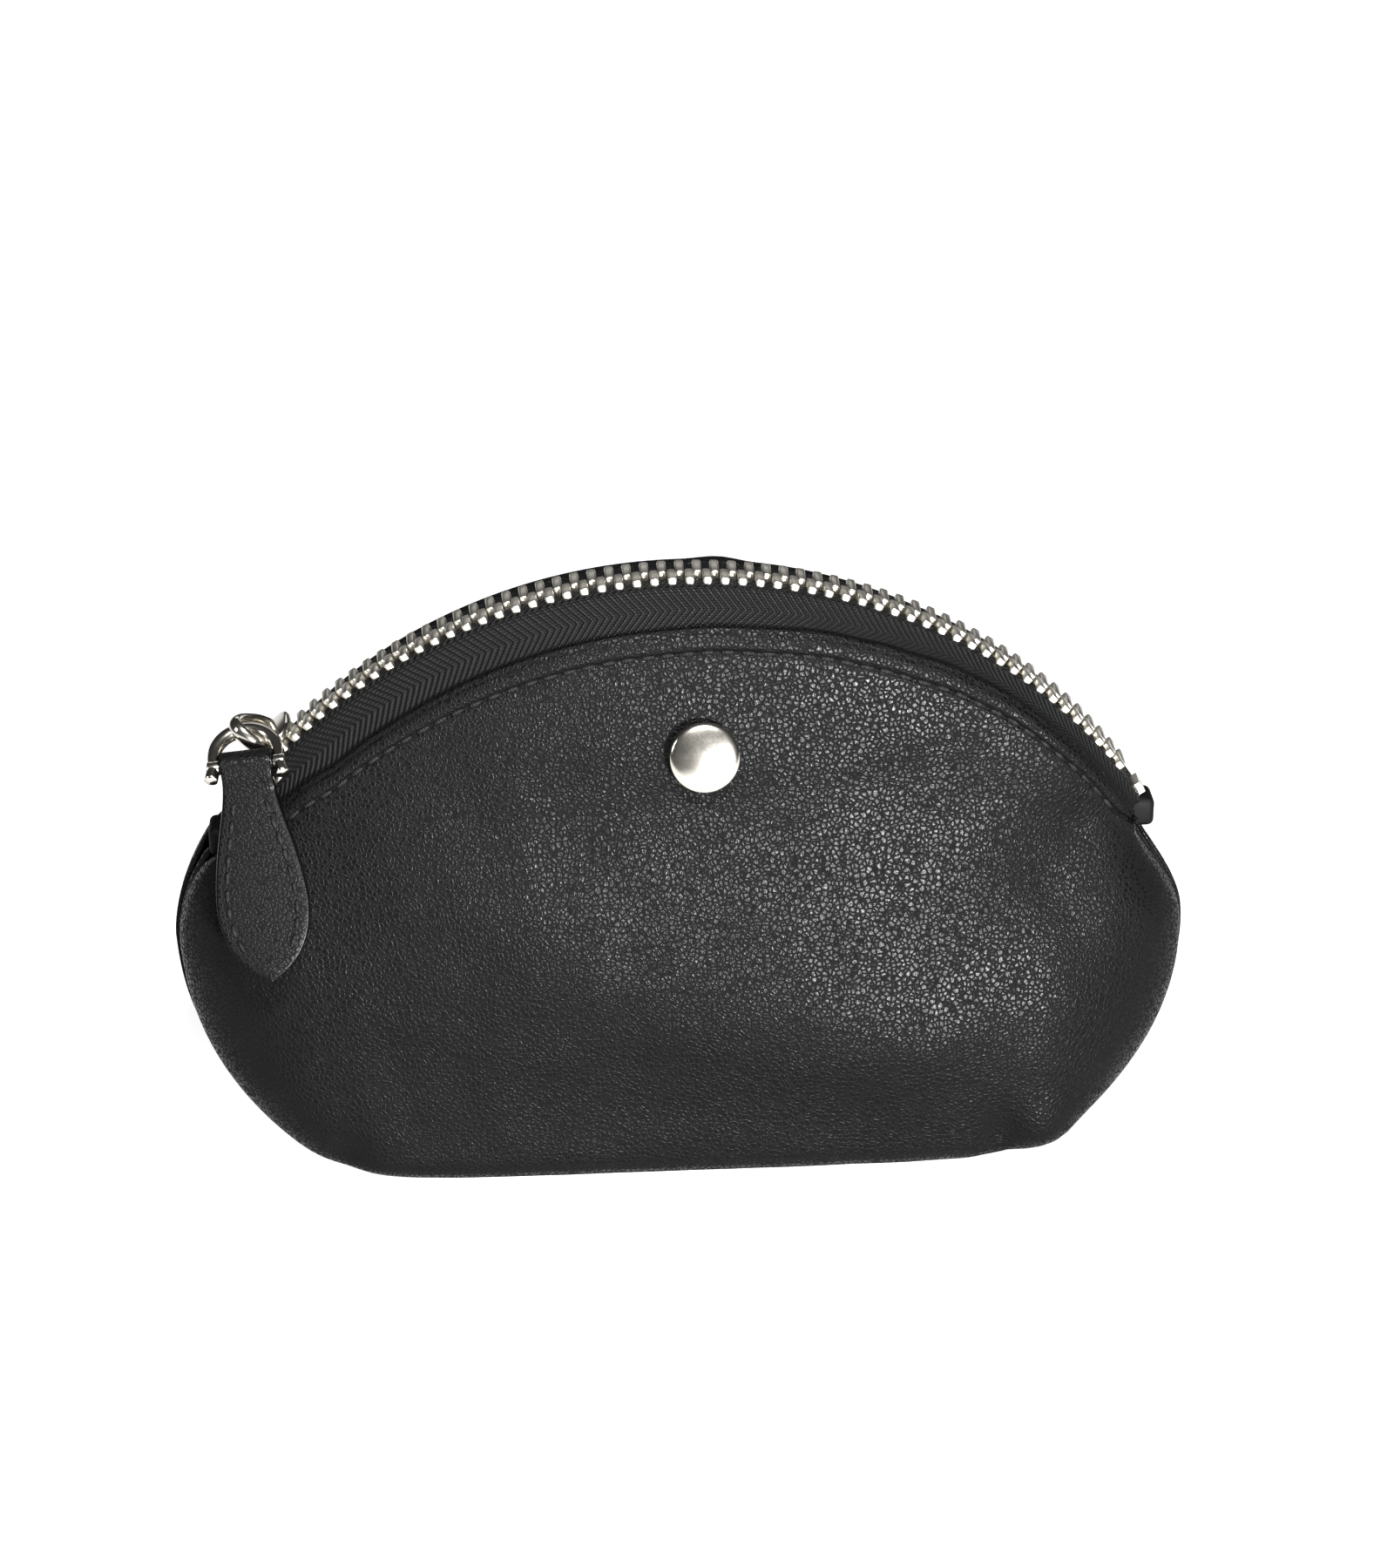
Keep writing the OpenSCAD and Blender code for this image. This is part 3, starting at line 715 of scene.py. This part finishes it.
def makeSlider():
    body = bmesh.new()
    for upper in (1, -1):
        plate = bmesh.new()
        bmesh.ops.create_cube(plate, size=1.0)
        bmesh.ops.scale(plate, vec=(slider["length"], slider["noseWidth"], slider["plateThickness"]), verts=plate.verts)
        for vert in plate.verts:
            if vert.co.x > 0:
                vert.co.y *= slider["tailWidth"] / slider["noseWidth"]
        corners = [edge for edge in plate.edges if abs(edge.verts[0].co.z - edge.verts[1].co.z) > 0.1]
        bmesh.ops.bevel(plate, geom=corners, offset=2.1, segments=5, profile=0.5, affect="EDGES", material=-1)
        bevelAll(plate, 0.26, 3, 40)
        addInto(body, moved(plate, Matrix.Translation(
            (0, 0, upper * (slider["plateGap"] + slider["plateThickness"] / 2)))))
        for side in (1, -1):
            lip = block((3.0, 0.8, 0.75), 0.2)
            addInto(body, moved(lip, Matrix.Translation((-2.4, side * 3.95, upper * 1.2))))
    wedge = bmesh.new()
    bmesh.ops.create_cone(wedge, cap_ends=True, segments=20, radius1=0.85, radius2=0.85, depth=3.2)
    addInto(body, moved(wedge, Matrix.Translation((-2.5, 0, 0))))
    smoothPiece("slider_shell", moved(body, sliderFrame), polishedNickel, "slider", ["slider_body"],
                levels=0)
    crown = [sliderFrame @ Vector((0.2, y, n)) for y, n in (
        (-3.9, 2.2), (-4.25, 4.3), (-3.75, 6.6), (-2.4, 7.45), (-0.7, 7.0), (1.2, 5.6), (2.9, 3.9), (3.7, 2.2))]
    sideAxis = sliderFrame.to_3x3() @ Vector((1, 0, 0))
    shape = tube(curveThrough(crown, 36), lambda s: (1.3 - 0.3 * math.sin(math.pi * s), 0.62), sideAxis)
    smoothPiece("slider_bridge", shape, polishedNickel, "slider", ["slider_crown"])


makeSlider()

# ---- pull: a horseshoe wire, its pin and the folded leather tab ----
hang = pinPoint - bowPoint
pull = dict(lean=-math.degrees(math.atan2(pinAxis.z, pinAxis.x)), outerWidth=9.4, length=hang.length, wire=0.95,
            slope=math.degrees(math.atan2(math.hypot(hang.x, hang.z), -hang.y)))
leanTurn = Matrix.Rotation(math.radians(pull["lean"]), 4, "Y")
loopFrame = Matrix.Translation(bowPoint) @ leanTurn @ Matrix.Rotation(math.radians(180 + pull["slope"]), 4, "X")


def makeLoop():
    r, length = (pull["outerWidth"] - 1.3) / 2, pull["length"]
    path = [Vector((-r - 0.5, length + 1.9, 0.1)), Vector((-r - 0.15, length + 0.3, 0)),
            Vector((-r, (r + length) / 2, 0))]
    path += [Vector((-r * math.cos(a), r - r * math.sin(a) * 1.02, 0))
             for a in (math.pi * step / 8 for step in range(0, 9))]
    path += [Vector((r, (r + length) / 2, 0)), Vector((r + 0.15, length + 0.3, 0)),
             Vector((r + 0.5, length + 1.9, 0.1))]
    wires = curveThrough([loopFrame @ point for point in path], 72)
    shape = tube(wires, lambda s: (pull["wire"] * (0.92 + 0.22 * math.sin(math.pi * s) ** 4),
                                   pull["wire"] * (0.92 + 0.10 * math.sin(math.pi * s) ** 4)),
                 loopFrame.to_3x3() @ Vector((0, 0, 1)))
    for side in (1, -1):
        eye = bmesh.new()
        bmesh.ops.create_cone(eye, cap_ends=True, segments=24, radius1=0.95, radius2=0.95, depth=1.7)
        bevelAll(eye, 0.3, 3)
        addInto(shape, moved(eye, loopFrame @ Matrix.Translation((side * (r + 0.05), length, 0))
                             @ Matrix.Rotation(math.pi / 2, 4, "Y")))
    smoothPiece("pull_ring", shape, polishedNickel, "pull", ["pull_loop"], levels=0)
    pin = bmesh.new()
    bmesh.ops.create_cone(pin, cap_ends=True, segments=24, radius1=0.62, radius2=0.62, depth=2 * r)
    smoothPiece("pull_pin_rod", moved(pin, Matrix.Translation(pinPoint) @ leanTurn
                                      @ Matrix.Rotation(math.pi / 2, 4, "Y")),
                polishedNickel, "pull", ["pull_pin"], levels=0)


makeLoop()

strapLow, strapHigh = (inMm(corner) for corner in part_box("tab_strap"))
tab = dict(length=27.5, thick=1.22, foldRadius=1.9, corner=0.62, stitchInset=1.55, stitchPitch=2.15)
tabOutline = [(0.0, 3.3), (0.08, 3.25), (0.2, 3.75), (0.39, 4.95), (0.54, 5.65), (0.66, 5.85), (0.78, 5.3),
              (0.88, 3.95), (0.95, 2.1), (1.0, 0.05)]
tabTilt = math.atan2(pinPoint.y - strapLow.y - 1.0, pinPoint.z - strapLow.z)
tabFrame = Matrix.Translation(pinPoint) @ leanTurn @ Matrix.Rotation(-tabTilt, 4, "X")


def tabHalf(s):
    s = min(max(s, 0.0), 1.0)
    for index in range(len(tabOutline) - 1):
        lowAt, low = tabOutline[index]
        highAt, high = tabOutline[index + 1]
        if s <= highAt:
            before = tabOutline[max(0, index - 1)]
            after = tabOutline[min(len(tabOutline) - 1, index + 2)]
            span = highAt - lowAt
            f = (s - lowAt) / span
            slopeLow = (high - before[1]) / (highAt - before[0]) if index else (high - low) / span
            slopeHigh = (after[1] - low) / (after[0] - lowAt)
            return ((2 * f ** 3 - 3 * f * f + 1) * low + (f ** 3 - 2 * f * f + f) * span * slopeLow
                    + (3 * f * f - 2 * f ** 3) * high + (f ** 3 - f * f) * span * slopeHigh)


def tabThick(z):
    if z > -2.4:
        fold = math.sqrt(max(0.0, tab["foldRadius"] ** 2 - max(z, 0.0) ** 2))
        return mixed(tab["thick"], fold, smooth((z + 3.4) / 2.6)) if z < 0 else fold
    return mixed(tab["thick"], tab["foldRadius"], smooth((z + 3.4) / 2.6))


def makeTab():
    around, rows = 56, 92

    def heightOf(row):
        if row < 14:
            return tab["foldRadius"] * math.cos(math.pi / 2 * row / 14)
        return -tab["length"] * math.sin(math.pi / 2 * (row - 14) / (rows - 14)) ** 1.15

    def place(column, row):
        z = heightOf(row)
        half, thick = tabHalf(-z / tab["length"]), tabThick(z)
        corner = min(tab["corner"], half * 0.9, thick)
        turn = 2 * math.pi * (column + 0.5) / around
        c, q = math.cos(turn), math.sin(turn)
        x = (half - corner) * max(-1.0, min(1.0, c * 1.45)) + corner * math.copysign(abs(c) ** 0.75, c)
        y = thick * math.copysign(min(1.0, abs(q) * 1.6) ** 0.8, q)
        belly = 0.16 * math.cos(min(1.0, abs(x) / max(half, 0.2)) * math.pi / 2) * smooth(-z / 6)
        return tabFrame @ Vector((x, y + math.copysign(belly, y), z))

    shape = mappedGrid(around, rows, place, wrap=True)
    bmesh.ops.holes_fill(shape, edges=[edge for edge in shape.edges if edge.is_boundary])
    piece = smoothPiece("tab_leaf", shape, tabLeather, "tab", ["tab_strap"], levels=0)
    paint = piece.data.attributes.new("edgePaint", "FLOAT", "POINT")
    back = tabFrame.inverted()
    for vert in piece.data.vertices:
        local = back @ (vert.co / mm)
        rim = tabHalf(-local.z / tab["length"]) - abs(local.x)
        paint.data[vert.index].value = 1 - smooth((rim - 0.22) / 0.3) if local.z < 1.2 else 0.0


makeTab()


# ---- stitches: short threads that dip into the leather at both ends ----
def stitchAt(target, start, end, outward, thick=0.32, lift=0.20):
    along = end - start
    middle = (start + end) / 2
    stitch = bmesh.new()
    bmesh.ops.create_uvsphere(stitch, u_segments=8, v_segments=6, radius=1.0)
    bmesh.ops.scale(stitch, vec=(along.length * 0.54, thick, thick), verts=stitch.verts)
    side = outward.cross(along).normalized()
    up = along.cross(side).normalized()
    turn = Matrix((along.normalized(), side, up)).transposed().to_4x4()
    addInto(target, moved(stitch, Matrix.Translation(middle + up * lift) @ turn))


hemStitch = dict(pitch=2.4, share=0.72, drop=2.3)


def makeHemStitches(name, side, node):
    thread = bmesh.new()
    limit = 53.5
    count = int(math.radians(2 * limit) * (zipRadius - 7) / hemStitch["pitch"])
    for index in range(count):
        ends = []
        for shift in (0.5 - hemStitch["share"] / 2, 0.5 + hemStitch["share"] / 2):
            angle = -limit + 2 * limit * (index + shift) / count + random.uniform(-0.06, 0.06)
            k = math.sin(math.radians(angle)) / math.sin(math.radians(zipShape["halfAngle"]))
            ends.append(wallPoint(k, 1 - hemStitch["drop"] / hemPoint(k, side).z,
                                  -skin["grooveDepth"] + random.uniform(-0.03, 0.05), side))
        outward = Vector((0, -side, 0.2))
        stitchAt(thread, ends[0], ends[1], outward)
    piece = fromBmesh(name, thread, blackThread)
    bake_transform(piece)
    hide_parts(node)


makeHemStitches("front_stitches", 1, "front_topstitch")
makeHemStitches("back_stitches", -1, "back_topstitch")


def makeTabStitches():
    thread = bmesh.new()
    for face in (1, -1):
        for hand in (1, -1):
            line = []
            for step in range(200):
                z = -4.6 - step * (tab["length"] - 7.4) / 199
                line.append(Vector((hand * max(0.0, tabHalf(-z / tab["length"]) - tab["stitchInset"]),
                                    -face * (tabThick(z) + 0.02), z)))
            travelled, startPoint = 0.0, line[0]
            for before, after in zip(line, line[1:]):
                travelled += (after - before).length
                if travelled >= tab["stitchPitch"] * 0.74 and startPoint:
                    stitchAt(thread, startPoint, after, Vector((0, -face, 0)), 0.30, 0.26)
                    startPoint = None
                if travelled >= tab["stitchPitch"]:
                    travelled, startPoint = 0.0, after
    smoothPiece("tab_stitches", moved(thread, tabFrame), blackThread, "tab", ["tab_stitching"], levels=0)


makeTabStitches()
print("slider, pull and stitches made")

# ---- side seams and zip ends ----
for hand, label in ((-1, "left"), (1, "right")):
    edgeLine = [wallPoint(hand, step / 30, 0) + Vector((-hand * 0.30, 0, 0)) for step in range(30)]
    for point in edgeLine:
        point.y = 0.0
    shape = tube([point.copy() for point in edgeLine], lambda s: (0.85, 0.42), Vector((0, 1, 0)), 10)
    smoothPiece(label + "_seam", shape, pebbledLeather, "root", [label + "_side_seam"], levels=0)
    low, high = (inMm(corner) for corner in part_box(label + "_zip_end"))
    end = block(high - low, 0.9, 4)
    smoothPiece(label + "_tape_end", moved(end, Matrix.Translation((low + high) / 2)), zipTape, "root",
                [label + "_zip_end"], levels=0)

# ---- stud: a turned cap with a plain ring ----
stud = dict(tilt=0.09, steps=48, profile=[
    (0.0, 1.0), (1.0, 0.988), (2.0, 0.952), (3.0, 0.892), (3.7, 0.836), (4.0, 0.80), (4.25, 0.75), (4.42, 0.69),
    (4.5, 0.60), (4.5, 0.30), (4.42, 0.12), (4.2, 0.0), (0.0, 0.0)])


def makeStud():
    mesh = frame["nodes"]["stud_cap"].data
    face = max(mesh.polygons, key=lambda polygon: -polygon.normal.y * polygon.area)
    outward = face.normal.normalized()
    middle = (capLow + capHigh) / 2
    depth = 2.4
    profile = stud["profile"]

    def place(column, row):
        radius, height = profile[row]
        turn = 2 * math.pi * column / stud["steps"]
        return Vector((radius * math.cos(turn), radius * math.sin(turn), (height - 0.5) * depth))

    shape = mappedGrid(stud["steps"], len(profile) - 1, place, wrap=True)
    facing = outward + Vector((0, 0, stud["tilt"]))
    turn = facing.to_track_quat("Z", "Y").to_matrix().to_4x4()
    piece = smoothPiece("stud_button", moved(shape, Matrix.Translation(middle) @ turn), polishedNickel, None,
                        ["stud_cap"])
    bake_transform(piece)


makeStud()
print("seams and stud made")

# ---- camera, floor and light ----
shot = dict(azimuth=-4.0, elevation=27.0, distance=0.55, aimX=1.7, aimZ=47.6, frameHeight=202.0)


def makeCamera():
    azimuth, elevation = math.radians(shot["azimuth"]), math.radians(shot["elevation"])
    aim = Vector((shot["aimX"], 0, shot["aimZ"])) * mm
    back = Vector((math.sin(azimuth) * math.cos(elevation), -math.cos(azimuth) * math.cos(elevation),
                   math.sin(elevation)))
    data = bpy.data.cameras.new("camera")
    data.sensor_width = 36
    data.lens = 36 * shot["distance"] / (shot["frameHeight"] * mm)
    camera = bpy.data.objects.new("camera", data)
    bpy.context.scene.collection.objects.link(camera)
    camera.location = aim + back * shot["distance"]
    camera.rotation_euler = (-back).to_track_quat("-Z", "Y").to_euler()
    bpy.context.scene.camera = camera


def areaLight(name, place, aim, size, power, tint=(1, 1, 1)):
    data = bpy.data.lights.new(name, "AREA")
    data.shape = "RECTANGLE"
    data.size, data.size_y = size
    data.energy = power
    data.color = tint
    light = bpy.data.objects.new(name, data)
    bpy.context.scene.collection.objects.link(light)
    light.location = place
    light.rotation_euler = (Vector(aim) - Vector(place)).to_track_quat("-Z", "Y").to_euler()


def makeStage():
    shape = bmesh.new()
    bmesh.ops.create_grid(shape, x_segments=1, y_segments=1, size=3000)
    recipe = Recipe("paper", Roughness=0.9)
    grain = recipe.noiseAt(recipe.places(), 30.0)
    recipe.feed("Base Color", recipe.blendColours(grain, (0.14, 0.14, 0.14, 1), (0.16, 0.16, 0.16, 1)))
    recipe.surface.inputs["Emission Color"].default_value = (1, 1, 1, 1)
    recipe.surface.inputs["Emission Strength"].default_value = light["floorGlow"]
    floor = fromBmesh("floor", shape, recipe.material)
    world = bpy.data.worlds.new("studio")
    bpy.context.scene.world = world
    world.use_nodes = True
    world.node_tree.nodes["Background"].inputs["Color"].default_value = (1, 1, 1, 1)
    world.node_tree.nodes["Background"].inputs["Strength"].default_value = light["room"]
    for name, place, size, power in light["softboxes"]:
        areaLight(name, place, (0, 0, 0.035), size, power)
    bpy.context.scene.view_settings.view_transform = "Standard"


light = dict(room=0.04, floorGlow=0.88, softboxes=[
    ("top", (0.03, -0.42, 0.58), (0.14, 0.09), 24.0),
    ("front_right", (0.24, -0.80, 0.09), (0.13, 0.08), 50.0),
    ("left", (-0.62, -0.30, 0.35), (0.12, 0.2), 1.6),
    ("behind", (0.0, 0.55, 0.36), (0.5, 0.16), 0.35)])
makeCamera()
makeStage()

for nodeName, material in {
    "base_stiffener": fibreBoard, "base_lining": liningCloth, "bottom_stop": nickelTeeth,
    "front_top_stop": nickelTeeth, "back_top_stop": nickelTeeth, "stud_post": polishedNickel,
    "stud_washer": polishedNickel,
}.items():
    node = frame["nodes"][nodeName]
    node.data.materials.clear()
    node.data.materials.append(material)
